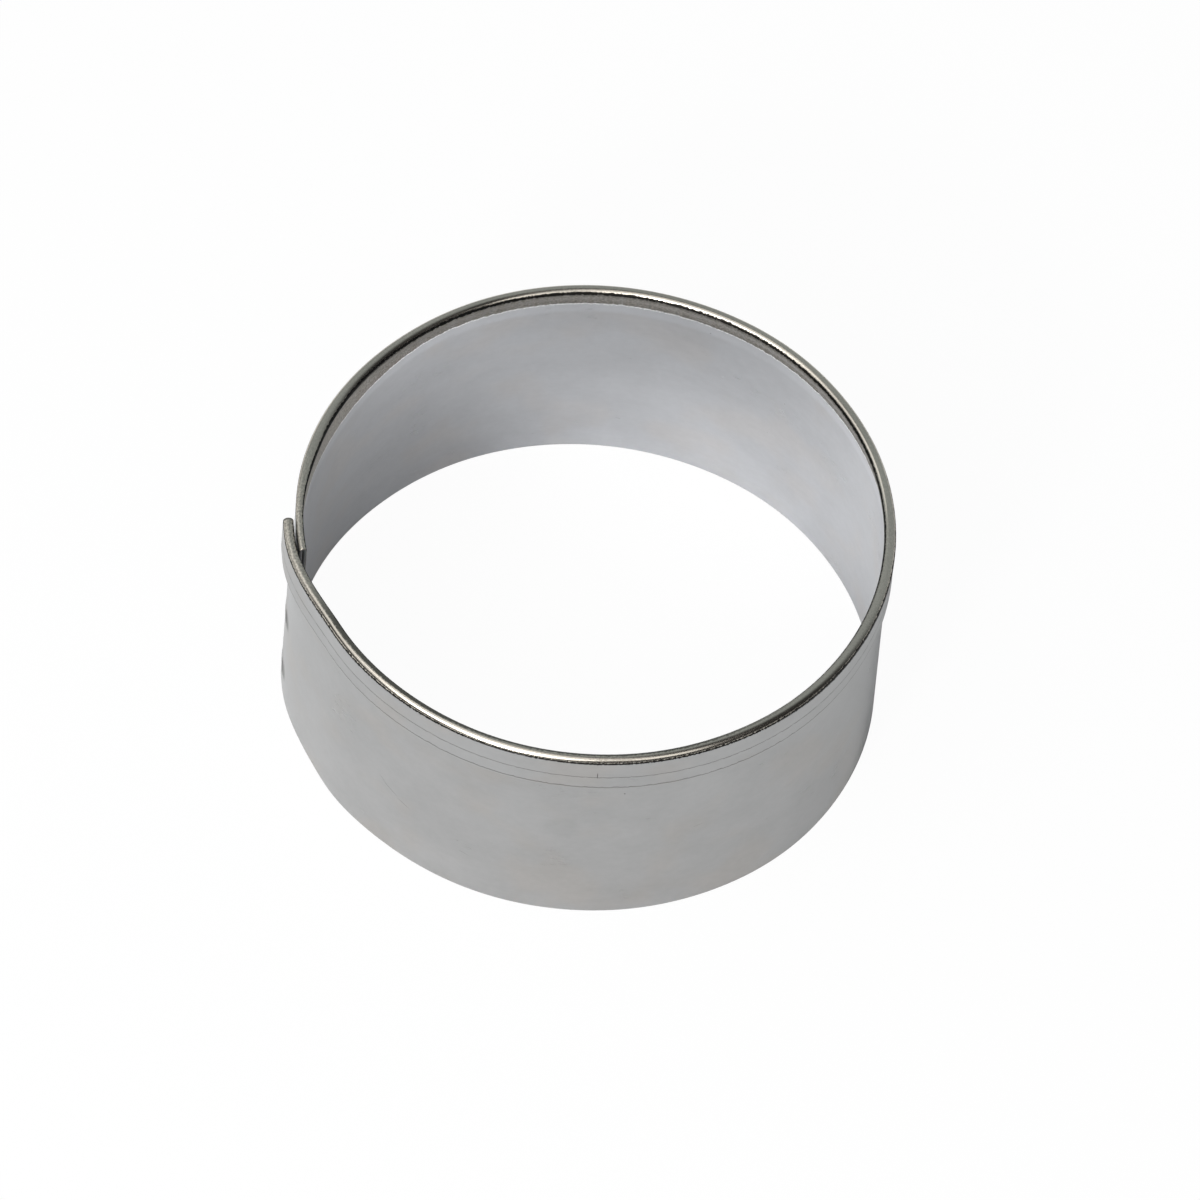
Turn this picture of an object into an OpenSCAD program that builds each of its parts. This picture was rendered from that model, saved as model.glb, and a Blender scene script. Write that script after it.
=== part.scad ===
// Plain round biscuit cutter. One strip of thin sheet steel is bent into a ring. Its top edge is
// folded outward into a hem with a round bead on top, its bottom edge is the bare cutting edge,
// and its two ends lap at the left, where two spot welds join them.
//
// Millimetres. Z is up, the cutting edge stands on Z = 0 and the ring's axis is the Z axis.
// Directions are in degrees, counter-clockwise from +X seen from above.

/* [Ring] */
// Inside diameter, which is the size of the biscuit it cuts
cut_d = 58; // [40:0.5:100]
// Height from the cutting edge to the top of the bead
ring_h = 25.4; // [20:0.2:50]
// Thickness of the sheet
sheet_t = 0.3; // [0.25:0.05:0.4]

/* [Hem] */
// Height of the hem, from the top of the bead down to the free edge of the lip
hem_h = 4.6; // [3.6:0.1:6]
// Depth below the top of the bead where the lip is creased upright
crease_h = 2.7; // [2:0.1:3.2]
// Width of the hollow inside the bead
bead_hollow = 0.6; // [0.4:0.05:0.9]
// How far the bead stands inside the wall
bead_in = 0.2; // [0:0.05:0.3]
// Height over which the wall leans in towards the bead
shoulder_h = 1.3; // [0.8:0.1:2]
// Gap between the wall and the free edge of the lip
lip_gap = 0.2; // [0.1:0.05:0.35]

/* [Lap] */
// Direction of the middle of the lap
lap_dir = 189.8; // [170:0.1:200]
// Length by which the two ends lap
lap_len = 3.9; // [3.6:0.1:8]
// How far the outer end's wall stands out from the ring
wall_step = 0.77; // [0.7:0.01:1]
// Gap between the two walls in the lap
lap_gap = 0.1; // [0.05:0.05:0.2]
// Gap between the two hems in the lap
hem_nip = 0.2; // [0.1:0.05:0.3]
// Length over which the outer end steps out, before it reaches the inner end
step_len = 8.4; // [8:0.2:16]
// Length over which the inner end's hem is pressed narrower, before it goes under the outer end
press_len = 10; // [6:0.2:14]
// Hollow and lip gap left in the inner end's pressed hem
inner_hollow = 0.15; // [0.1:0.05:0.3]
// Hollow and lip gap of the outer end's opened hem
outer_hollow = 0.45; // [0.3:0.05:0.6]
// Height over which the inner end's wall is pushed out below its hem to meet the outer end's wall
flare_h = 6; // [4:0.2:7]
// Height left between that bend and the lip
flare_clear = 0.8; // [0.4:0.1:1.5]

/* [Spot welds] */
// Diameter of a weld spot
weld_d = 2; // [1.6:0.1:2.8]
// Distance from a spot to the outer end's free edge
weld_edge = 0.2; // [0.1:0.05:0.5]
// Height of the lower weld's centre above the cutting edge
weld_low = 3.1; // [2:0.1:5]
// Distance between the two welds' centres
weld_pitch = 8.1; // [5:0.1:9]
// Depth of the electrode's dent at the edge of a spot
weld_dent = 0.04; // [0.02:0.01:0.1]
// Further depth of the dish in the middle of a spot, on the outside
weld_dish = 0.12; // [0:0.01:0.15]

/* [Hidden] */

// Colours of the sheet and of the heat-darkened welds
sheet_colour = [0.70, 0.70, 0.72];
weld_colour = [0.42, 0.42, 0.43];

// Radii and heights of the wall and the hem
wall_r = cut_d / 2;
lip_z = ring_h - hem_h;
crease_z = ring_h - crease_h;
flare_top_z = lip_z - flare_clear;
flare_foot_z = flare_top_z - flare_h;

// Width of the inner end's pressed hem, the outer hem's step round it, and the inner wall's push
inner_w = 2 * sheet_t + inner_hollow;
hem_step = inner_w + hem_nip;
wall_push = wall_step - sheet_t - lap_gap;

// The strip is built with its plain stretch from direction 0 to plain_end and the middle of the
// lap at lap_mid, and is then turned so that the lap faces lap_dir
plain_end = 270;
lap_mid = (plain_end + 360) / 2;

// Angles taken by the lengths along the wall
deg_per_mm = 360 / (PI * (cut_d + sheet_t));
inner_edge_dir = lap_mid + lap_len / 2 * deg_per_mm;
outer_edge_dir = lap_mid - lap_len / 2 * deg_per_mm;
step_dir = inner_edge_dir + step_len * deg_per_mm;
press_dir = outer_edge_dir - press_len * deg_per_mm;
weld_dir = outer_edge_dir + (weld_edge + weld_d / 2) * deg_per_mm;

// Numbers of straight pieces in the bead's half circle and in the curved heights, and the
// degrees between two slices where an end is plain and where it bends
bead_sides = 10;
curve_sides = 5;
plain_degrees = 3;
bent_degrees = 2;

// A weld runs from a dent in the inner wall to a dent in the outer one
weld_in_r = wall_r + wall_push + weld_dent;
weld_out_r = wall_r + wall_step + sheet_t - weld_dent;
weld_reach = 1;
dish_r = (pow(weld_d / 2, 2) + pow(weld_dish, 2)) / (2 * max(weld_dish, 0.01));

function ease(x) = let (u = max(0, min(1, x))) u * u * (3 - 2 * u);
function mix(a, b, u) = a + (b - a) * u;

// Outward shift of the outer end's sheet at height z, once it has stepped out by the share u
function step_at(z, u) = u * mix(wall_step, hem_step, ease((z - flare_foot_z) / flare_h));

// Outward shift of the inner end's sheet: its wall is pushed out, and its hem stays on the ring
function push_at(z, u) = u * mix(wall_push, 0, ease((z - flare_foot_z) / flare_h));

// Heights of the wall's points: its foot, and the rows where the ends bend
levels = [0, for (i = [0:curve_sides]) flare_foot_z + flare_h * i / curve_sides];

// One face of the strip as [radius, height] points: up the wall, over the bead and down the lip.
// depth is 0 on the face that starts inside the ring and a sheet's thickness on the other. hollow
// and gap are the bead's and the lip's, lean is how far the bead stands inside the wall.
function strip_face(depth, hollow, gap, lean) =
  let (
    r = sheet_t + hollow / 2,
    mid = [wall_r - lean + r, ring_h - r],
    lip_r = wall_r + 2 * sheet_t + gap - depth
  )
  concat(
    [for (z = levels) [wall_r + depth, z]],
    [for (i = [0:curve_sides - 1])
      let (u = i / curve_sides)
        [wall_r + depth - lean * ease(u), mid[1] - shoulder_h * (1 - u)]],
    [for (i = [0:bead_sides]) mid + (r - depth) * half_circle(i / bead_sides)],
    [[lip_r, crease_z], [lip_r, lip_z]]
  );

// Unit half circle from the inner side over the top to the outer side, for u from 0 to 1
function half_circle(u) = [-cos(180 * u), sin(180 * u)];

function backwards(list) = [for (i = [len(list) - 1:-1:0]) list[i]];

// Closed outline of the strip's section
function section(hollow, gap, lean) =
  concat(
    strip_face(0, hollow, gap, lean),
    backwards(strip_face(sheet_t, hollow, gap, lean))
  );

function turned(p, dir) = [p[0] * cos(dir), p[0] * sin(dir), p[1]];

// Solid through a row of sections of the strip, each a list of points that stand in space
module through(rings) {
  n = len(rings[0]);
  last = len(rings) - 1;
  sides = [
    for (k = [0:last - 1], i = [0:n - 1])
      let (a = k * n + i, b = k * n + (i + 1) % n)
        each [[a, b, b + n], [a, b + n, a + n]]
  ];
  // A section is a bent ribbon, so each end is closed from one face of the sheet to the other
  ends = [
    for (i = [0:n / 2 - 2], k = [0, last])
      let (a = k * n + i, c = k * n + n - 1 - i)
        each k == 0 ? [[a, c, c - 1], [a, c - 1, a + 1]] : [[a, c - 1, c], [a, a + 1, c - 1]]
  ];
  polyhedron(points = [for (ring = rings) each ring], faces = concat(sides, ends));
}

// Directions of an end's slices, from where it leaves the plain stretch over the start of its
// bend to its free edge
function slice_dirs(start, bend, edge) =
  let (
    few = ceil(abs(bend - start) / plain_degrees),
    many = ceil(abs(edge - bend) / bent_degrees)
  )
  concat(
    [for (k = [0:few - 1]) mix(start, bend, k / few)],
    [for (k = [0:many]) mix(bend, edge, k / many)]
  );

// The plain stretch of the strip
module ring_stretch() {
  rotate_extrude(angle = plain_end, $fn = 180)
    polygon(section(bead_hollow, lip_gap, bead_in));
}

// The outer end: it steps out round the inner end and its hem opens a little
module outer_end() {
  through([
    for (dir = slice_dirs(360, step_dir, outer_edge_dir))
      let (
        u = ease((step_dir - dir) / (step_dir - inner_edge_dir)),
        points = section(mix(bead_hollow, outer_hollow, u),
                         mix(lip_gap, outer_hollow, u), mix(bead_in, 0, u))
      )
      [for (p = points) turned([p[0] + step_at(p[1], u), p[1]], dir)]
  ]);
}

// The inner end: its hem is pressed narrow before it passes inside the outer end, and its wall
// bends out under the hem as far as the welds draw it
module inner_end() {
  through(backwards([
    for (dir = slice_dirs(plain_end, press_dir, inner_edge_dir))
      let (
        u = ease((dir - press_dir) / (outer_edge_dir - press_dir)),
        points = section(mix(bead_hollow, inner_hollow, u),
                         mix(lip_gap, inner_hollow, u), mix(bead_in, 0, u))
      )
      [for (p = points) turned([p[0] + push_at(p[1], u), p[1]], dir)]
  ]));
}

// Axis of a weld at height z, pointing outward along its local Z
module at_weld(z) {
  rotate([0, 0, weld_dir])
    translate([0, 0, z])
      rotate([0, 90, 0])
        children();
}

module weld_core(z) {
  at_weld(z)
    translate([0, 0, weld_in_r - weld_reach])
      cylinder(d = weld_d, h = weld_out_r - weld_in_r + 2 * weld_reach, $fn = 64);
}

module cutter_band() {
  color(sheet_colour)
    rotate([0, 0, lap_dir - lap_mid])
      difference() {
        union() {
          ring_stretch();
          outer_end();
          inner_end();
        }
        weld_core(weld_low);
        weld_core(weld_low + weld_pitch);
      }
}

// Fused metal of both sheets, shaped by the electrodes: level inside, dished outside
module spot_weld(z) {
  color(weld_colour)
    rotate([0, 0, lap_dir - lap_mid])
      difference() {
        intersection() {
          weld_core(z);
          difference() {
            translate([0, 0, z - weld_d])
              cylinder(r = weld_out_r, h = 2 * weld_d, $fn = 180);
            translate([0, 0, z - 2 * weld_d])
              cylinder(r = weld_in_r, h = 4 * weld_d, $fn = 180);
          }
        }
        at_weld(z)
          translate([0, 0, weld_out_r + dish_r - weld_dish])
            sphere(r = dish_r, $fn = 128);
      }
}

module lower_spot_weld() {
  spot_weld(weld_low);
}

module upper_spot_weld() {
  spot_weld(weld_low + weld_pitch);
}

cutter_band();
upper_spot_weld();
lower_spot_weld();
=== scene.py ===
"""Plain round biscuit cutter: the folded band of sheet steel and its two spot welds."""

import math

import bmesh
import bpy
import numpy as np
from mathutils import Matrix, Vector


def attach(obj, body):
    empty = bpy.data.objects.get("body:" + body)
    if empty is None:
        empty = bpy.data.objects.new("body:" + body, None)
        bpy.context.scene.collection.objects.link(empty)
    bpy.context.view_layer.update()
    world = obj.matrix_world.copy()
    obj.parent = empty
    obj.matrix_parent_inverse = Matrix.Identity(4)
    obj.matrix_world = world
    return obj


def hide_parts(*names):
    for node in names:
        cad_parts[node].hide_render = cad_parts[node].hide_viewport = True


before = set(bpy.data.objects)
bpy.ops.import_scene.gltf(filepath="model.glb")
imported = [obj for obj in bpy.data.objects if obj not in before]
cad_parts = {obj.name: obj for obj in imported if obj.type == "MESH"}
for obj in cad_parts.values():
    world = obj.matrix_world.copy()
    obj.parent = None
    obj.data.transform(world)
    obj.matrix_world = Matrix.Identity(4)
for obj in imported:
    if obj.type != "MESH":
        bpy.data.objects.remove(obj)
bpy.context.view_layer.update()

MM = 0.001

# Sizes of the band in millimetres and directions in degrees, the same as in the CAD source
CUT_D = 58.0
RING_H = 25.4
SHEET_T = 0.3
HEM_H = 4.6
CREASE_H = 2.7
BEAD_HOLLOW = 0.6
BEAD_IN = 0.2
SHOULDER_H = 1.3
LIP_GAP = 0.2
LAP_DIR = 189.8
LAP_LEN = 3.9
WALL_STEP = 0.77
LAP_GAP = 0.1
HEM_NIP = 0.2
STEP_LEN = 8.4
PRESS_LEN = 10.0
INNER_HOLLOW = 0.15
OUTER_HOLLOW = 0.45
FLARE_H = 6.0
FLARE_CLEAR = 0.8
WELD_D = 2.0
WELD_EDGE = 0.2
WELD_LOW = 3.1
WELD_PITCH = 8.1
WELD_DENT = 0.04
WELD_DISH = 0.12

WALL_R = CUT_D / 2
MIDDLE_R = WALL_R + SHEET_T / 2
LIP_Z = RING_H - HEM_H
CREASE_Z = RING_H - CREASE_H
FLARE_TOP_Z = LIP_Z - FLARE_CLEAR
FLARE_FOOT_Z = FLARE_TOP_Z - FLARE_H
HEM_STEP = 2 * SHEET_T + INNER_HOLLOW + HEM_NIP
WALL_PUSH = WALL_STEP - SHEET_T - LAP_GAP
DEG_PER_MM = 360 / (math.pi * (CUT_D + SHEET_T))
INNER_EDGE = LAP_DIR + LAP_LEN / 2 * DEG_PER_MM
OUTER_EDGE = LAP_DIR - LAP_LEN / 2 * DEG_PER_MM
PRESS_DIR = OUTER_EDGE - PRESS_LEN * DEG_PER_MM
WELD_DIR = OUTER_EDGE + (WELD_EDGE + WELD_D / 2) * DEG_PER_MM
WELD_HEIGHTS = {"upper_weld": WELD_LOW + WELD_PITCH, "lower_weld": WELD_LOW}

# The outer end's step as photographed starts a little earlier and ends a little later
STEP_START = INNER_EDGE + STEP_LEN * DEG_PER_MM + 3.0
STEP_FULL = INNER_EDGE - 3.6

# The photographed bead stands a little further in than the CAD's
BEAD_LEAN = BEAD_IN + 0.15

# Waves round the ring, each with its depth, its count and its phase in degrees, and bulges, each
# with its depth, direction and half width in degrees. A negative depth is a flat. The bulge
# beside the step is full at the cutting edge and gone at the lip.
WAVES = [(0.012, 7, 40), (0.010, 11, 200)]
BULGES = [(-0.10, 135, 26), (0.08, 45, 26)]
STEP_BULGE = (0.22, 216, 10)


def ease(x):
    u = np.clip(x, 0.0, 1.0)
    return u * u * (3 - 2 * u)


def mix(a, b, u):
    return a + (b - a) * u


def bump(x, width):
    return np.exp(-((x / width) ** 2))


# Band
EDGE_ROUND = 0.06      # rounding of the sheet's free edges
LIP_ROUND = 0.14       # rounding of the lip's outer corner
CUT_ROUND = 0.035      # bevel of the two sheared ends
CREASE_CUT = 0.03      # depth of the groove that the crease leaves in the lip
CREASE_HALF = 0.07     # half the width of that groove
WELD_SWELL = 0.06      # how far the outer sheet stands up round a weld
SWELL_REACH = 0.7      # width of that swelling
SEAT_WIDTH = 0.35      # width over which the face gives way to a weld's disc
SEAT_INSIDE = 0.45     # how far inside the weld's rim the face has given way
SEAT_OUTER = 0.22      # how far the outer face gives way
SEAT_INNER = 0.12      # how far the inner face gives way
CAP_SHIFT = 0.4        # place of the sheared ends' faces beside the strip on the UV map
SHARP_ANGLE = 50       # degrees between two faces from which their edge is shaded sharp

# Points of the section: rows up the wall, close together at the foot, the welds and the flare
FOOT_LEVELS = [EDGE_ROUND, 0.14, 0.3, 0.6, 1.1]
MIDDLE_LEVEL = 7.2
WELD_ROWS = 17
WELD_ROWS_REACH = 1.6
FLARE_ROWS = 9
HEM_LEVELS = [LIP_Z - 0.3, LIP_Z, LIP_Z + 0.4, 22.0, 22.6]
SHOULDER_ROWS = 9
BEAD_POINTS = 28
FLANK_SHARES = (0.2, 0.5, 0.8, 0.93)
LIP_LEVELS = (CREASE_Z - 0.2, CREASE_Z - 0.8, LIP_Z + 0.5, LIP_Z + 0.2)

# Degrees turned at each point round the two corners of a free edge
FIRST_CORNER = (25, 50, 75, 90)
SECOND_CORNER = (90, 60, 30)
EDGE_POINTS = len(FIRST_CORNER) + len(SECOND_CORNER)

# Degrees a slice: next to a sheared end, in the lap, where the ends bend, and round the rest
END_SLICE = 0.2
LAP_SLICE = 0.4
FINE_SLICE = 0.8
PLAIN_SLICE = 1.5


def wall_levels():
    """Heights of the rows of points up the wall, below the shoulder."""
    levels = FOOT_LEVELS + [MIDDLE_LEVEL]
    for height in WELD_HEIGHTS.values():
        levels += list(height + np.linspace(-WELD_ROWS_REACH, WELD_ROWS_REACH, WELD_ROWS))
    levels += list(np.linspace(FLARE_FOOT_Z, FLARE_TOP_Z, FLARE_ROWS))
    return sorted(levels) + HEM_LEVELS


LEVELS = np.array(wall_levels())


def strip_face(depth, hollow, gap, lean):
    """One face of the strip as radii and heights: up the wall, over the bead and down the lip.

    depth is 0 on the face that starts inside the ring and the sheet's thickness on the other.
    """
    r = SHEET_T + hollow / 2
    mid_r, mid_z = WALL_R - lean + r, RING_H - r
    lip_r = WALL_R + 2 * SHEET_T + gap - depth
    rows = [(WALL_R + depth, z) for z in LEVELS]
    for u in np.arange(SHOULDER_ROWS) / SHOULDER_ROWS:
        rows.append((WALL_R + depth - lean * ease(u), mix(mid_z - SHOULDER_H, mid_z, u)))
    for u in np.linspace(0, 1, BEAD_POINTS + 1):
        a = math.pi * u
        rows.append((mid_r - (r - depth) * math.cos(a), mid_z + (r - depth) * math.sin(a)))
    bead_r = mid_r + r - depth
    for u in FLANK_SHARES:
        rows.append((mix(bead_r, lip_r, u), mix(mid_z, CREASE_Z, u)))
    cut = CREASE_CUT if depth == 0 else 0.0
    rows.append((lip_r, CREASE_Z + CREASE_HALF))
    rows.append((lip_r - cut, CREASE_Z))
    rows.append((lip_r, CREASE_Z - CREASE_HALF))
    for z in LIP_LEVELS:
        rows.append((lip_r, z))
    rows.append((lip_r, LIP_Z + (LIP_ROUND if depth == 0 else EDGE_ROUND)))
    return np.array(rows)


def rounded_edge(a, b, end, round_a, round_b):
    """Points of a free edge's two rounded corners, from face point a to face point b.

    end is the edge's height, and the rounding of each corner starts at its face point.
    """
    across = (b - a) / np.linalg.norm(b - a)
    out = np.array([0.0, 1.0 if end > a[1] else -1.0])
    rows = []
    for turn in FIRST_CORNER:
        s = math.radians(turn)
        rows.append(a + round_a * ((1 - math.cos(s)) * across + math.sin(s) * out))
    for turn in SECOND_CORNER:
        s = math.radians(turn)
        rows.append(b + round_b * (-(1 - math.cos(s)) * across + math.sin(s) * out))
    return np.array(rows)


def section(hollow, gap, lean, pinch):
    """Closed outline of the strip, with the number of points on a face.

    It runs up the inner face, round the lip's edge, back down the outer face and round the
    cutting edge. pinch is how far both faces draw in at a sheared end.
    """
    near = strip_face(0.0, hollow, gap, lean)
    far = strip_face(SHEET_T, hollow, gap, lean)
    if pinch:
        drawn_in = (far - near) * (pinch / SHEET_T)
        near, far = near + drawn_in, far - drawn_in
    lip = rounded_edge(near[-1], far[-1], LIP_Z, LIP_ROUND, EDGE_ROUND)
    foot = rounded_edge(far[0], near[0], 0.0, EDGE_ROUND, EDGE_ROUND)
    return np.concatenate([near, lip, far[::-1], foot]), len(near)


def strip_lengths():
    """Length across the strip at each row of the plain section, from the wall's foot inside."""
    rows = section(BEAD_HOLLOW, LIP_GAP, BEAD_LEAN, 0.0)[0]
    steps = np.linalg.norm(np.diff(rows, axis=0, append=rows[:1]), axis=1)
    return np.concatenate([[0.0], np.cumsum(steps)])


# Places across the strip that the sheet's material uses, in millimetres: the two flanks of the
# bead, the crease, the lip's edge, the foot of the shoulder's painted shade and that of the paler band
V_ROWS = strip_lengths()
BEAD_FIRST = len(LEVELS) + SHOULDER_ROWS
BEAD_LAST = BEAD_FIRST + BEAD_POINTS
V_BEAD_IN = V_ROWS[BEAD_FIRST]
V_BEAD_OUT = V_ROWS[BEAD_LAST]
V_CREASE = V_ROWS[BEAD_LAST + len(FLANK_SHARES) + 2]
V_LIP = V_CREASE + HEM_H - CREASE_H
V_OUTER_FOOT = V_ROWS[-2 - EDGE_POINTS]
V_SHOULDER = V_BEAD_IN - 1.7
V_PALE = V_SHOULDER - 1.35


def place_along(direction):
    """Length along the strip from the outer end's edge to a direction."""
    return math.radians(direction - OUTER_EDGE) * MIDDLE_R


def place_across(face, z):
    """Place across the strip at height z on the wall's inner or outer face or on the lip."""
    if face == "inner":
        return z - EDGE_ROUND
    if face == "lip":
        return V_CREASE + CREASE_Z - z
    return V_OUTER_FOOT + EDGE_ROUND - z


def slice_directions():
    """Directions of the slices from the outer end's edge round to the inner end's edge."""
    bevel = CUT_ROUND * DEG_PER_MM
    press_start = 360 + PRESS_DIR
    plain = int((press_start - STEP_START) / PLAIN_SLICE)
    return np.concatenate([
        [OUTER_EDGE, OUTER_EDGE + bevel, OUTER_EDGE + END_SLICE],
        np.arange(OUTER_EDGE + LAP_SLICE, INNER_EDGE, LAP_SLICE),
        np.arange(INNER_EDGE, STEP_START - FINE_SLICE / 2, FINE_SLICE),
        np.linspace(STEP_START, press_start, plain),
        np.arange(press_start + FINE_SLICE, 360 + OUTER_EDGE, FINE_SLICE),
        np.arange(360 + OUTER_EDGE, 360 + INNER_EDGE - 1.5 * END_SLICE, LAP_SLICE),
        [360 + INNER_EDGE - END_SLICE, 360 + INNER_EDGE - bevel, 360 + INNER_EDGE],
    ])


def out_of_round(direction, z):
    """How far the real ring departs from a circle: slight waves, a flat and two bulges."""
    d = direction % 360
    total = sum(depth * np.sin(np.radians(count * d + phase)) for depth, count, phase in WAVES)
    total += sum(depth * bump(d - middle, half) for depth, middle, half in BULGES)
    depth, middle, half = STEP_BULGE
    return total + depth * bump(d - middle, half) * (1 - ease(z / LIP_Z))


def weld_shift(direction, z, outer, seen):
    """Radial shift round the two welds, where the sheet has swelled a little.

    seen marks the points on the face that shows, which also gives way to the weld's own disc.
    """
    along = (direction % 360 - WELD_DIR) / DEG_PER_MM
    total = np.zeros_like(z)
    for height in WELD_HEIGHTS.values():
        beyond = np.hypot(along, z - height) - WELD_D / 2
        swell = 1 - ease(beyond / SWELL_REACH)
        sunk = (1 - ease((beyond + SEAT_INSIDE) / SEAT_WIDTH)) * seen
        total += WELD_SWELL * swell - SEAT_OUTER * sunk if outer else SEAT_INNER * sunk
    return total


def strip_slice(d, pinch):
    """Points in space of the strip's section in direction d."""
    u_out = ease((STEP_START - d) / (STEP_START - STEP_FULL))
    u_in = ease((d - 360 - PRESS_DIR) / (OUTER_EDGE - PRESS_DIR))
    hollow = mix(mix(BEAD_HOLLOW, OUTER_HOLLOW, u_out), INNER_HOLLOW, u_in)
    gap = mix(mix(LIP_GAP, OUTER_HOLLOW, u_out), INNER_HOLLOW, u_in)
    lean = mix(BEAD_LEAN, 0.0, max(u_out, u_in))
    rows, n_face = section(hollow, gap, lean, pinch)
    z = rows[:, 1]
    up = ease((z - FLARE_FOOT_Z) / FLARE_H)
    r = rows[:, 0] + u_out * mix(WALL_STEP, HEM_STEP, up) + u_in * mix(WALL_PUSH, 0.0, up)
    r = r + out_of_round(d, z)
    if u_out > 0 or u_in > 0:
        far_face = np.arange(len(z)) >= n_face + EDGE_POINTS // 2
        r = r + weld_shift(d, z, u_out > 0, far_face == (u_out > 0)) * (z < FLARE_FOOT_Z)
    a = math.radians(d)
    return np.stack([r * math.cos(a), r * math.sin(a), z], -1)


def build_band():
    directions = slice_directions()
    last = len(directions) - 1
    rings = [strip_slice(d, CUT_ROUND if k in (0, last) else 0.0) for k, d in enumerate(directions)]
    uv_along = [place_along(d) for d in directions]
    n = len(rings[0])
    n_face = n // 2 - EDGE_POINTS
    faces, uvs = [], []
    for k in range(last):
        for i in range(n):
            j = (i + 1) % n
            faces.append((k * n + i, k * n + j, (k + 1) * n + j, (k + 1) * n + i))
            u0, u1, v0, v1 = uv_along[k], uv_along[k + 1], V_ROWS[i], V_ROWS[i + 1]
            uvs += [(u0, v0), (u0, v1), (u1, v1), (u1, v0)]

    # The sheared ends: quads from one face of the sheet to the other, and a face at each edge
    far_end = 2 * n_face + EDGE_POINTS - 1
    caps = [(i, i + 1, far_end - i - 1, far_end - i) for i in range(n_face - 1)]
    caps.append(tuple(range(n_face - 1, n_face + EDGE_POINTS + 1)))
    caps.append((*range(far_end, n), 0))
    for k, shift in ((0, -CAP_SHIFT), (last, CAP_SHIFT)):
        for cap in caps:
            loop = cap[::-1] if k == 0 else cap
            faces.append(tuple(k * n + i for i in loop))
            uvs += [(uv_along[k] + (shift if i >= n_face else 0.0), V_ROWS[i]) for i in loop]
    return make_piece("band_sheet", np.concatenate(rings) * MM, faces, "strip", uvs)


# Spot welds
WELD_SIDES = 56
INNER_FACE_ROWS = 12
OUTER_FACE_ROWS = 16
WELD_WOBBLE = 0.005    # unroundness of a weld, as a share of its radius
RIM_AT = 0.95          # where the raised rim of a weld's face stands, as a share of its radius
RIM_HALF = 0.05        # half width of that rim
RIM_H = 0.02           # its height
FACE_END = 0.96        # where the face ends and the rounded corner starts
CORNER_AT = 0.985      # where that corner's point stands
CORNER_H = 0.010       # how far that point stands out from the face
INNER_CROWN = 0.035    # crown of the face inside the ring
INNER_SKIRT = 0.03     # depth of the corner inside
OUTER_SKIRT = 0.05     # depth of the corner outside


def weld_profile():
    """Rows from the middle of the inside face over the rim to the middle of the outside face.

    Each row is the distance from the weld's axis and the radius from the ring's axis.
    """
    rim = WELD_D / 2
    inside = WALL_R + WELD_DENT
    outside = WALL_R + WALL_STEP + SHEET_T - WELD_DENT + WELD_SWELL
    rows = [(rim * s, inside + INNER_CROWN * (1 - s * s) - RIM_H * bump(s - RIM_AT, RIM_HALF))
            for s in np.linspace(0, FACE_END, INNER_FACE_ROWS)]
    rows += [(rim * CORNER_AT, inside - CORNER_H), (rim, inside + INNER_SKIRT)]
    rows += [(rim, outside - OUTER_SKIRT), (rim * CORNER_AT, outside + CORNER_H)]
    rows += [(rim * s, outside - WELD_DISH * (1 - s * s) + RIM_H * bump(s - RIM_AT, RIM_HALF))
             for s in np.linspace(FACE_END, 0, OUTER_FACE_ROWS)]
    return rows


def build_weld(name, height):
    rows, sides = weld_profile(), WELD_SIDES
    points, faces, spots = [], [], []
    shift = out_of_round(WELD_DIR, height)

    def place(rho, angle, r):
        wobble = 1 + WELD_WOBBLE * math.sin(3 * angle + height) * rho / (WELD_D / 2)
        along, up = rho * wobble * math.cos(angle), rho * wobble * math.sin(angle)
        d = math.radians(WELD_DIR + along * DEG_PER_MM)
        spots.append((along, up))
        points.append(((r + shift) * math.cos(d) * MM, (r + shift) * math.sin(d) * MM,
                       (height + up) * MM))

    place(0.0, 0.0, rows[0][1])
    for rho, r in rows[1:-1]:
        for k in range(sides):
            place(rho, 2 * math.pi * k / sides, r)
    place(0.0, 0.0, rows[-1][1])
    end, loops = len(points) - 1, len(rows) - 2
    for k in range(sides):
        j = (k + 1) % sides
        faces.append((0, 1 + j, 1 + k))
        faces.append((end, 1 + (loops - 1) * sides + k, 1 + (loops - 1) * sides + j))
        for i in range(loops - 1):
            a, b = 1 + i * sides, 1 + (i + 1) * sides
            faces.append((a + k, a + j, b + j, b + k))
    return make_piece(name, points, faces, "spot", [spots[i] for f in faces for i in f])


def make_piece(name, points, faces, layer_name, uvs):
    """Mesh object with one UV map in millimetres, its faces turned outward and shaded smooth."""
    mesh = bpy.data.meshes.new(name)
    mesh.from_pydata([tuple(p) for p in points], [], faces)
    layer = mesh.uv_layers.new(name=layer_name)
    layer.uv.foreach_set("vector", np.array(uvs, np.float32).ravel())
    bm = bmesh.new()
    bm.from_mesh(mesh)
    bmesh.ops.recalc_face_normals(bm, faces=bm.faces)
    bm.to_mesh(mesh)
    bm.free()
    mesh.polygons.foreach_set("use_smooth", np.ones(len(mesh.polygons), bool))
    mesh.set_sharp_from_angle(angle=math.radians(SHARP_ANGLE))
    piece = bpy.data.objects.new(name, mesh)
    bpy.context.scene.collection.objects.link(piece)
    return piece


# Materials
LINE_CORE = 0.7        # share of a line's half width that has its full strength
SPOT_CORE = 0.4        # share of a spot's ellipse that has its full strength


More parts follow.
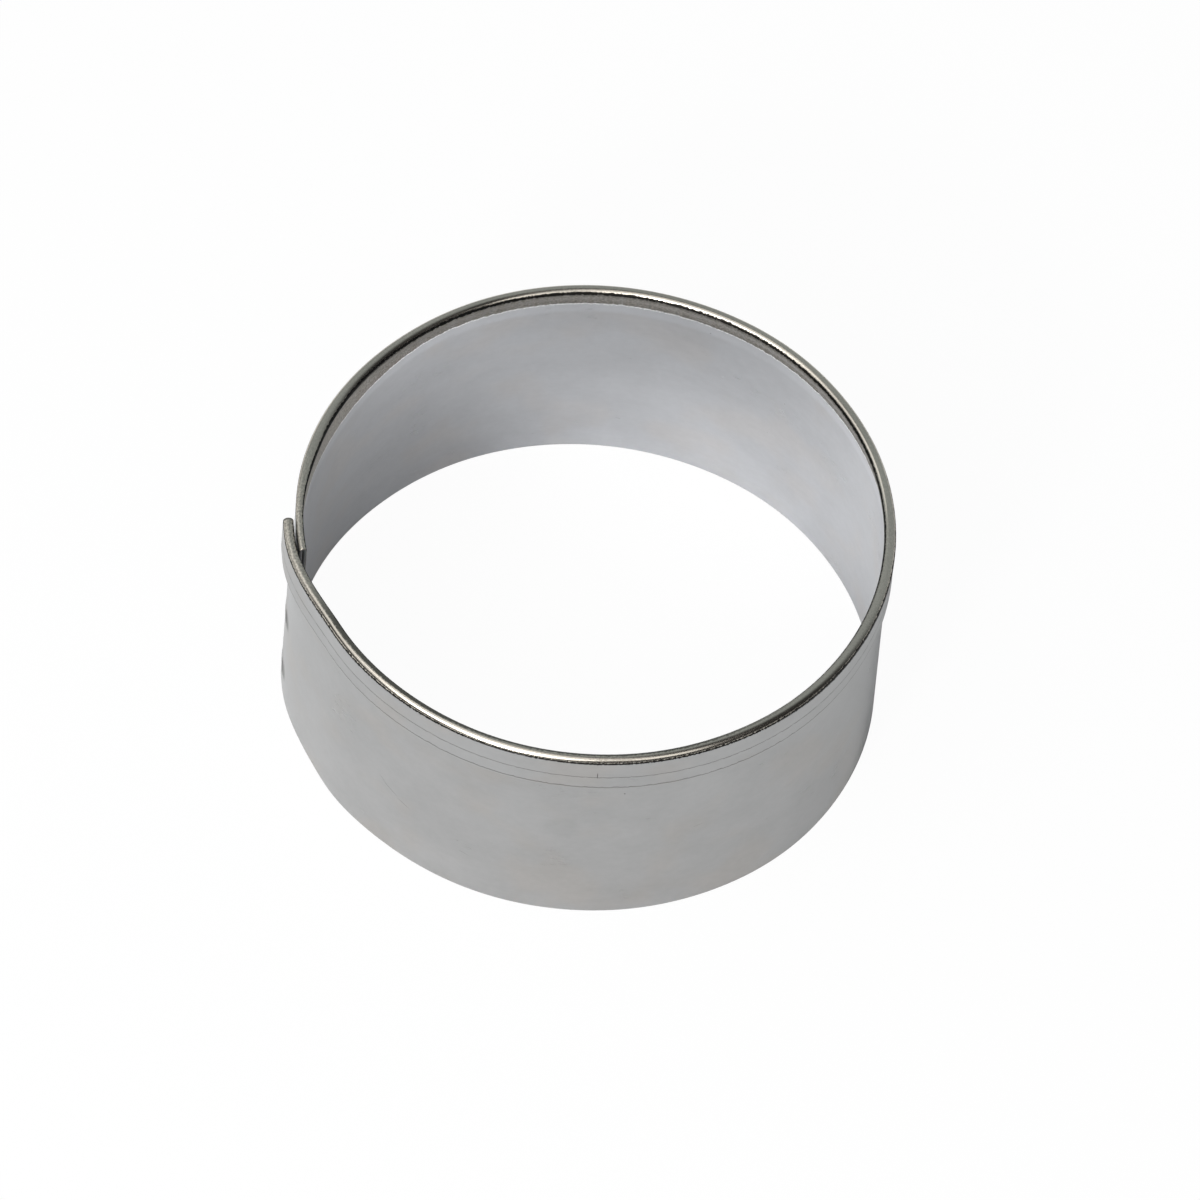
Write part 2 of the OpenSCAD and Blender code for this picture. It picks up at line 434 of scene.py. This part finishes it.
class Graph:
    """A node tree with short calls to add nodes and join them."""

    def __init__(self, owner):
        owner.use_nodes = True
        self.tree = owner.node_tree
        self.tree.nodes.clear()

    def feed(self, slot, value):
        """Join a socket to another node's output, or give it a plain value."""
        if isinstance(value, bpy.types.NodeSocket):
            self.tree.links.new(value, slot)
        else:
            slot.default_value = value

    def add(self, kind, out=0, settings=None, **inputs):
        """A node's output. An input is named by its label, or by i and its number."""
        node = self.tree.nodes.new("ShaderNode" + kind)
        for key, value in (settings or {}).items():
            setattr(node, key, value)
        for key, value in inputs.items():
            numbered = key[0] == "i" and key[1:].isdigit()
            self.feed(node.inputs[int(key[1:]) if numbered else key], value)
        return node.outputs[out] if node.outputs else node

    def axes(self, vector):
        """The three parts of a vector."""
        node = self.tree.nodes.new("ShaderNodeSeparateXYZ")
        self.feed(node.inputs[0], vector)
        return node.outputs

    def math(self, operation, a, b=0.0, c=0.0):
        return self.add("Math", settings={"operation": operation}, i0=a, i1=b, i2=c)

    def span(self, value, low, high, to_low=0.0, to_high=1.0):
        """value taken from low..high to to_low..to_high, smoothly and held at both ends."""
        return self.add("MapRange", settings={"interpolation_type": "SMOOTHSTEP"},
                        i0=value, i1=low, i2=high, i3=to_low, i4=to_high)

    def blend(self, factor, a, b, kind="MIX"):
        """Two colours mixed."""
        return self.add("Mix", out=2, settings={"data_type": "RGBA", "blend_type": kind},
                        i0=factor, i6=a, i7=b)

    def line(self, value, at, half_width):
        """1 where value is at a place, falling to 0 at the half width."""
        away = self.math("ABSOLUTE", self.math("SUBTRACT", value, at))
        return self.span(away, half_width * LINE_CORE, half_width, 1.0, 0.0)

    def zone(self, value, low, high, soft):
        """1 between low and high, with soft edges."""
        return self.math("MULTIPLY", self.span(value, low - soft, low + soft),
                         self.span(value, high - soft, high + soft, 1.0, 0.0))

    def noise(self, vector, detail, rough):
        """Noise about 0.5, mostly from 0.25 to 0.75."""
        return self.add("TexNoise", Vector=vector, Scale=1.0, Detail=detail, Roughness=rough)

    def mapped(self, vector, scale, shift=(0, 0, 0)):
        return self.add("Mapping", i0=vector, i1=shift, i3=scale)

    def spot(self, vector, middle, halves, slope, strength):
        """strength in the middle of an ellipse, falling to 0 at its rim."""
        placed = self.add("Mapping", settings={"vector_type": "TEXTURE"}, i0=vector,
                          i1=(*middle, 0), i2=(0, 0, math.radians(slope)), i3=(*halves, 1))
        length = self.add("VectorMath", out=1, settings={"operation": "LENGTH"}, i0=placed)
        return self.span(length, SPOT_CORE, 1.0, strength, 0.0)


def grey(value, tint=(1.0, 1.0, 1.0)):
    return (value * tint[0], value * tint[1], value * tint[2], 1.0)


# Grey levels of the sheet's parts, from the pale faces down to the black lines
# the crease's near white is a painted highlight where the wall bends out under the shoulder
CREASE_HIGHLIGHT_BASE = 0.95
BEAD_BASE = 0.56
INNER_BASE = 0.54
PALE_BASE = INNER_BASE * 1.12
# the outer face's grey is set lower than the inside's, as painted shade for the dimmer light outside
OUTER_SHADED_BASE = 0.415
# the shoulder's dark greys are painted shade, standing for the dark that its tilted face mirrors
SHOULDER_LEFT_SHADE_BASE = 0.36
SHOULDER_SHADE_BASE = 0.22
LIP_SHADE_LINE_BASE = 0.14
# the bead's inner half is painted dark, as a painted dark reflection
BEAD_SHADE_BASE = 0.12
MARK_AND_SHADE_BASE = 0.08
TIP_SHADE_BASE = 0.06
# the flanks' black is painted shade and dark reflection along the bead
FLANK_SHADE_BASE = 0.012

WALL_TINT = (0.97, 0.985, 1.02)
BRUISE_TINT = (1.02, 0.985, 0.95)
BEAD_TINT = (1.10, 1.02, 0.89)
BLACK_TINT = (1.0, 0.98, 0.9)
BEAD_SHADE_TINT = (1.08, 1.0, 0.84)

# Roughness of the sheet's parts, and what the black lines and the bead beside the lap add to it
SHEET_ROUGH = 0.30
BEAD_ROUGH = 0.22
SHOULDER_ROUGH = 0.45
FLANK_ADDED = 0.3
LAP_ADDED = 0.22

# Stretches along the strip, in millimetres from the outer end's edge, over which a look sets in
# or fades: the painted shade of the tip, the coarse bead beside the lap, the painted dark
# reflection on the bead's inner half, the broad painted black line at the right, and the lowered
# painted shade of the shoulder at the back left
TIP_SHADE_FADES = (0.0, 0.35)
LAP_FADES = (4.0, 14.0)
LAP_SETS_IN = (172.0, 184.0)
BEAD_SHADE_SETS_IN = (6.0, 14.0)
BEAD_SHADE_DRIFTS = (22.0, 38.0)
BEAD_SHADE_FADES = (52.0, 70.0)
RIGHT_SETS_IN = (60.0, 74.0)
RIGHT_FADES = (104.0, 118.0)
BACK_LEFT_SETS_IN = (151.0, 172.0)
BACK_LEFT_DROP = 2.4

# Scratches, specks and heat stains of the real cutter, and painted shade in two places of the lap:
# direction, height, face, half length, half height, slope in degrees, strength
MARKS_AND_LAP_SHADE = [
    (274.8, 23.0, "lip", 0.07, 0.60, 0, 0.8),
    (280.5, 19.3, "outer", 0.12, 0.09, 20, 1.0),
    (232.5, 9.2, "outer", 1.5, 0.06, 24, 0.5),
    (236.0, 8.3, "outer", 1.1, 0.05, 18, 0.5),
    (230.5, 9.9, "outer", 0.8, 0.05, 35, 0.4),
    (268.7, 13.4, "outer", 2.6, 2.0, 0, 0.09),
    (296.0, 12.0, "outer", 0.7, 0.04, -12, 0.35),
    (250.0, 5.5, "outer", 0.9, 0.04, 14, 0.35),
    (312.0, 8.0, "outer", 0.08, 0.06, 0, 0.6),
    (222.0, 15.0, "outer", 0.07, 0.06, 0, 0.6),
    (WELD_DIR + 1.2, WELD_LOW, "outer", 1.6, 1.4, 0, 0.8),
    (WELD_DIR + 1.2, WELD_LOW + WELD_PITCH, "outer", 1.6, 1.4, 0, 0.8),
    # painted shade in the lap: on the inner end's wall under its tip, and on the outer end's inner face
    # beside it
    (360 + INNER_EDGE, 22.8, "inner", 1.6, 2.0, 0, 0.9),
    (INNER_EDGE - 1.0, 22.0, "inner", 2.4, 2.6, 0, 0.9),
    (412.5, 17.2, "inner", 0.07, 0.06, 0, 0.7),
    (416.0, 11.0, "inner", 0.05, 0.05, 0, 0.6),
    (430.5, 22.0, "inner", 0.10, 0.07, 10, 0.7),
]


def marks_and_lap_shade(g, uv):
    """The strongest of the marks and of the lap's painted shade at each place."""
    strongest = None
    for direction, height, face, half_long, half_high, slope, strength in MARKS_AND_LAP_SHADE:
        middle = (place_along(direction), place_across(face, height))
        spot = g.spot(uv, middle, (half_long, half_high), slope, strength)
        strongest = spot if strongest is None else g.math("MAXIMUM", strongest, spot)
    return strongest


def sheet_steel():
    """Satin rolled sheet, worked along its hem.

    The wall is cloudy with a faint grain along the strip, and its outside is painted darker than
    its inside, as painted shade. The bead is olive and smoother, with a black line of painted shade
    along each flank that is broader in places, and a painted dark reflection over its inner half
    from the lap round to the front right. The shoulder under it is rough and painted dark, as
    painted shade, and ends in a ragged crease with a painted highlight, with a paler band below
    that. At the back left, the shoulder's painted shade, the crease's highlight and the band sit
    lower.
    """
    material = bpy.data.materials.new("sheet_steel_satin")
    g = Graph(material)
    uv = g.add("UVMap", settings={"uv_map": "strip"})
    along, across, _ = g.axes(uv)

    # Noises, from broad to fine. Their scales are per millimetre along and across the strip.
    clouds = g.noise(g.mapped(uv, (0.10, 0.16, 1)), 3.0, 0.6)
    patches = g.noise(g.mapped(uv, (0.11, 0.13, 1), (7, 3, 0)), 2.0, 0.5)
    grain = g.noise(g.mapped(uv, (0.5, 5.0, 1)), 4.0, 0.65)
    mottle = g.noise(g.mapped(uv, (1.1, 1.6, 1)), 3.0, 0.6)
    pits = g.noise(g.mapped(uv, (4.0, 4.5, 1), (3, 9, 0)), 2.0, 0.5)
    ragged = g.noise(g.mapped(uv, (0.9, 0.0, 1), (0, 5, 0)), 5.0, 0.7)

    # Places across the strip, with ragged borders
    strayed = g.math("ADD", across, g.span(ragged, 0.25, 0.75, -0.10, 0.10))
    nicked = g.math("ADD", across, g.span(pits, 0.25, 0.75, -0.08, 0.08))
    back_left = g.span(along, *BACK_LEFT_SETS_IN)
    sunk = g.math("MULTIPLY_ADD", back_left, BACK_LEFT_DROP, strayed)
    on_bead = g.zone(across, V_BEAD_IN + 0.15, V_BEAD_OUT - 0.1, 0.08)
    on_shoulder = g.math("MULTIPLY", g.span(sunk, V_SHOULDER - 0.05, V_SHOULDER + 0.05),
                         g.span(across, V_BEAD_IN + 0.1, V_BEAD_IN + 0.2, 1.0, 0.0))
    crease_highlight = g.line(sunk, V_SHOULDER - 0.06, 0.12)
    on_pale = g.math("MULTIPLY", g.span(sunk, V_PALE - 0.3, V_PALE + 0.4),
                     g.span(sunk, V_SHOULDER - 0.05, V_SHOULDER + 0.05, 1.0, 0.0))
    # painted shade lines along the crease's groove and along the lip's lower edge
    lip_shade_lines = g.math("MAXIMUM", g.line(strayed, V_CREASE, 0.07), g.line(strayed, V_LIP - 0.30, 0.09))

    # The black lines along the bead's flanks, painted shade and dark reflection, broader inside at the
    # back left and outside at the right
    flank_shade = g.math("ADD", g.line(nicked, V_BEAD_IN + 0.29, 0.19), g.line(nicked, V_BEAD_OUT - 0.14, 0.14))
    flank_shade = g.math("MULTIPLY_ADD", back_left,
                    g.zone(nicked, V_BEAD_IN - 0.1, V_BEAD_IN + 0.44, 0.04), flank_shade)
    at_right = g.math("MULTIPLY", g.span(along, *RIGHT_SETS_IN), g.span(along, *RIGHT_FADES, 1.0, 0.0))
    flank_shade = g.math("MULTIPLY_ADD", at_right,
                    g.zone(nicked, V_BEAD_OUT - 0.36, V_BEAD_OUT + 0.1, 0.04), flank_shade)
    flank_shade = g.math("MINIMUM", flank_shade, 1.0)

    # The coarse bead beside the lap, the painted dark reflection on the bead's inner half, and single
    # marks with the lap's painted shade
    near_lap = g.math("MAXIMUM", g.span(along, *LAP_FADES, 1.0, 0.0), g.span(along, *LAP_SETS_IN))
    coarse_bead = g.math("MULTIPLY", on_bead, g.math("MULTIPLY_ADD", near_lap, 0.8, 0.2))
    drifted = g.math("ADD", nicked, g.span(along, *BEAD_SHADE_DRIFTS, -0.2, 0.0))
    bead_shade = g.math("MULTIPLY", g.zone(drifted, V_BEAD_IN - 0.2, V_BEAD_IN + 0.85, 0.08),
                     g.span(along, *BEAD_SHADE_FADES, 0.85, 0.0))
    bead_shade = g.math("MULTIPLY", bead_shade, g.span(along, *BEAD_SHADE_SETS_IN))
    marks_and_shade = marks_and_lap_shade(g, uv)

    # Colour
    # inside and outside of the strip; the outside and the lip are painted darker, as painted shade
    colour = g.blend(g.span(across, V_BEAD_OUT - 0.2, V_BEAD_OUT), grey(INNER_BASE, WALL_TINT),
                     grey(OUTER_SHADED_BASE))
    colour = g.blend(g.span(patches, 0.48, 0.66, 0.0, 0.7), colour,
                     g.blend(1.0, colour, grey(1.0, BRUISE_TINT), "MULTIPLY"))
    colour = g.blend(on_pale, colour, grey(PALE_BASE, WALL_TINT))
    colour = g.blend(on_bead, colour, grey(BEAD_BASE, BEAD_TINT))
    # painted dark reflection on the bead's inner half
    colour = g.blend(bead_shade, colour, grey(BEAD_SHADE_BASE, BEAD_SHADE_TINT))
    # painted shade on the shoulder under the bead, lighter at the back left
    shoulder_shade = g.blend(back_left, grey(SHOULDER_SHADE_BASE, BEAD_TINT), grey(SHOULDER_LEFT_SHADE_BASE, BEAD_TINT))
    colour = g.blend(g.math("MULTIPLY", on_shoulder, g.span(ragged, 0.3, 0.7, 0.8, 1.0)), colour, shoulder_shade)
    # painted highlight along the ragged crease
    colour = g.blend(g.math("MULTIPLY", crease_highlight, g.span(pits, 0.35, 0.6, 0.3, 1.0)), colour,
                     grey(CREASE_HIGHLIGHT_BASE))
    # painted shade lines on the lip
    colour = g.blend(g.math("MULTIPLY", lip_shade_lines, g.span(ragged, 0.3, 0.7, 0.45, 0.8)), colour,
                     grey(LIP_SHADE_LINE_BASE, BLACK_TINT))
    # painted shade along the bead's flanks
    colour = g.blend(g.math("MULTIPLY", flank_shade, 0.98), colour, grey(FLANK_SHADE_BASE, BLACK_TINT))
    # marks, and the lap's painted shade
    colour = g.blend(marks_and_shade, colour, grey(MARK_AND_SHADE_BASE, BLACK_TINT))
    # painted shade over the outer end's tip, where its open hem lies in shade
    colour = g.blend(g.span(along, *TIP_SHADE_FADES, 0.85, 0.0), colour, grey(TIP_SHADE_BASE, BLACK_TINT))

    # Fine light and dark over all of it, coarser on the shoulder and on the bead beside the lap
    coarse = g.math("MULTIPLY", g.math("MAXIMUM", coarse_bead, on_shoulder),
                    g.span(pits, 0.3, 0.7, -0.3, 0.3))
    shade = g.math("ADD", g.span(clouds, 0.3, 0.7, 0.955, 1.045), g.span(grain, 0.2, 0.8, -0.012, 0.012))
    shade = g.math("ADD", shade, g.span(mottle, 0.25, 0.75, -0.02, 0.02))
    shade = g.math("ADD", shade, coarse)
    colour = g.blend(1.0, colour, g.add("CombineColor", i0=shade, i1=shade, i2=shade), "MULTIPLY")

    # Roughness
    rough = g.math("ADD", g.span(clouds, 0.3, 0.7, SHEET_ROUGH - 0.02, SHEET_ROUGH + 0.02),
                   g.span(grain, 0.2, 0.8, -0.015, 0.015))
    for share, added in ((on_bead, BEAD_ROUGH - SHEET_ROUGH), (on_shoulder, SHOULDER_ROUGH - SHEET_ROUGH),
                         (flank_shade, FLANK_ADDED), (g.math("MULTIPLY", near_lap, on_bead), LAP_ADDED)):
        rough = g.math("ADD", rough, g.math("MULTIPLY", share, added))

    # Relief in millimetres
    relief = g.math("ADD", g.math("MULTIPLY", grain, 0.0004), g.math("MULTIPLY", mottle, 0.001))
    relief = g.math("ADD", relief, g.math("MULTIPLY", coarse, 0.012))
    relief = g.math("ADD", relief, g.span(sunk, V_SHOULDER - 0.06, V_SHOULDER + 0.04, 0.0, -0.02))
    return metal(material, g, colour, rough, relief)


# Colours of a weld's middle, of its rim and of its burnt patches
WELD_MIDDLE = grey(0.13, (1.0, 1.0, 1.02))
WELD_RIM = grey(0.07, (1.03, 1.0, 0.96))
WELD_BURNT = grey(0.05, (1.02, 1.0, 0.98))


def weld_steel():
    """Fused steel of a spot, browned by the heat towards its rim."""
    material = bpy.data.materials.new("weld_steel_heated")
    g = Graph(material)
    uv = g.add("UVMap", settings={"uv_map": "spot"})
    radius = g.add("VectorMath", out=1, settings={"operation": "LENGTH"}, i0=uv)
    noise = g.noise(g.mapped(uv, (2.2, 2.2, 1)), 4.0, 0.6)
    tone = g.blend(g.span(radius, 0.3, 0.95), WELD_MIDDLE, WELD_RIM)
    tone = g.blend(g.span(noise, 0.35, 0.7, 0.0, 0.4), tone, WELD_BURNT)
    rough = g.span(noise, 0.3, 0.7, 0.4, 0.55)
    relief = g.math("MULTIPLY", noise, 0.01)
    return metal(material, g, tone, rough, relief)


def metal(material, g, colour, rough, relief):
    """Close a metal's graph with its shader. The relief is in millimetres."""
    normal = g.add("Bump", Strength=1.0, Distance=MM, Height=relief)
    shader = g.add("BsdfPrincipled", Metallic=1.0, Normal=normal, Roughness=rough,
                   **{"Base Color": colour})
    g.add("OutputMaterial", Surface=shader)
    return material


# The table's own colour, and the shares of plain white that the camera and mirrored or
# transmitted rays see on it besides its lit surface
FLOOR_WHITE = 0.86
CAMERA_WHITE = 0.96
MIRROR_WHITE = 0.06


def pale_floor():
    """Matt white table, seen whiter than it is lit, with the object's shadow kept faint."""
    material = bpy.data.materials.new("pale_table")
    g = Graph(material)
    diffuse = g.add("BsdfDiffuse", Color=grey(FLOOR_WHITE))
    white = g.add("Emission", Color=grey(1.0), Strength=1.0)
    path = g.tree.nodes.new("ShaderNodeLightPath").outputs
    mirrored = g.math("ADD", path["Is Glossy Ray"], path["Is Transmission Ray"])
    share = g.math("MULTIPLY_ADD", mirrored, MIRROR_WHITE,
                   g.math("MULTIPLY", path["Is Camera Ray"], CAMERA_WHITE))
    g.add("OutputMaterial", Surface=g.add("MixShader", i0=share, i1=diffuse, i2=white))
    return material


# Pieces
band = build_band()
band.data.materials.append(sheet_steel())
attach(band, "root")
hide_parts("cutter_band")

weld_material = weld_steel()
for weld_name, weld_height in WELD_HEIGHTS.items():
    weld = build_weld(weld_name, weld_height)
    weld.data.materials.append(weld_material)
    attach(weld, "root")
    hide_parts(weld_name.replace("_weld", "_spot_weld"))

# Stage, in metres

# Each lamp's name, azimuth, elevation, distance, width and height, and radiance. Azimuth 0 is the
# camera's side and -90 the left.
LIGHTS = [
    ("key_panel", -30.0, 44.0, 0.5, (0.48, 0.29), 2.95),
    ("left_panel", -88.0, 44.0, 0.5, (0.62, 0.26), 0.95),
    ("right_panel", 32.0, 46.0, 0.5, (0.17, 0.27), 1.35),
    ("softbox", -50.0, 72.0, 0.5, (0.46, 0.34), 1.0),
    ("low_lamp", -22.0, 28.0, 1.0, (0.13, 0.13), 90.0),
]

# The room is dark before the object and grey behind it, and turns from one to the other between
# these two values of a unit direction's Y
ROOM_FRONT = grey(0.03)
ROOM_BACK = grey(0.39, (0.88, 0.97, 1.0))
ROOM_TURNS = (0.0, 0.55)

# The table is a square this far from its middle to its sides, just under the cutting edge
TABLE_HALF = 3.0
TABLE_DROP = 0.00001

# The camera stands far off with a long lens, at the photograph's angle and slight roll
LENS_MM = 751.036
SENSOR_MM = 36.0
CAMERA_PLACE = Vector((0.0, -1.509837, 1.992560))
CAMERA_AIM = Vector((0.0011500, -0.0001393, 0.0127))
CAMERA_ROLL = -5.335923
CLIP_END = 20.0


def toward(azimuth, elevation):
    """Unit vector from the ring's middle towards a lamp."""
    a, e = math.radians(azimuth), math.radians(elevation)
    return Vector((math.sin(a) * math.cos(e), -math.cos(a) * math.cos(e), math.sin(e)))


def area_light(name, azimuth, elevation, distance, size, radiance):
    """Soft area light that faces the ring."""
    data = bpy.data.lights.new(name, "AREA")
    data.shape, data.size, data.size_y = "RECTANGLE", size[0], size[1]
    data.energy = radiance * math.pi * size[0] * size[1]
    lamp = bpy.data.objects.new(name, data)
    away = toward(azimuth, elevation)
    across = Vector((0, 0, 1)).cross(away).normalized()
    turn = Matrix((across, away.cross(across), away)).transposed().to_4x4()
    lamp.matrix_world = Matrix.Translation(Vector((0, 0, RING_H / 2 * MM)) + distance * away) @ turn
    bpy.context.scene.collection.objects.link(lamp)


def build_table():
    corners = [(-TABLE_HALF, -TABLE_HALF, 0), (TABLE_HALF, -TABLE_HALF, 0),
               (TABLE_HALF, TABLE_HALF, 0), (-TABLE_HALF, TABLE_HALF, 0)]
    mesh = bpy.data.meshes.new("table_top")
    mesh.from_pydata(corners, [], [(0, 1, 2, 3)])
    table = bpy.data.objects.new("table_top", mesh)
    table.location.z = -TABLE_DROP
    bpy.context.scene.collection.objects.link(table)
    table.data.materials.append(pale_floor())
    return table


def build_room():
    world = bpy.data.worlds.new("studio")
    bpy.context.scene.world = world
    g = Graph(world)
    direction = g.add("VectorMath", settings={"operation": "NORMALIZE"}, i0=g.add("TexCoord", out=0))
    room = g.blend(g.span(g.axes(direction)[1], *ROOM_TURNS), ROOM_FRONT, ROOM_BACK)
    g.add("OutputWorld", Surface=g.add("Background", i0=room, i1=1.0))


def build_camera():
    data = bpy.data.cameras.new("camera")
    data.lens, data.sensor_width, data.clip_end = LENS_MM, SENSOR_MM, CLIP_END
    camera = bpy.data.objects.new("camera", data)
    forward = (CAMERA_AIM - CAMERA_PLACE).normalized()
    right = forward.cross(Vector((0, 0, 1))).normalized()
    right.rotate(Matrix.Rotation(math.radians(CAMERA_ROLL), 3, forward))
    turn = Matrix((right, right.cross(forward), -forward)).transposed().to_4x4()
    camera.matrix_world = Matrix.Translation(CAMERA_PLACE) @ turn
    bpy.context.scene.collection.objects.link(camera)
    bpy.context.scene.camera = camera


build_table()
build_room()
for light in LIGHTS:
    area_light(*light)
build_camera()
bpy.context.scene.view_settings.view_transform = "Standard"

bpy.context.view_layer.update()
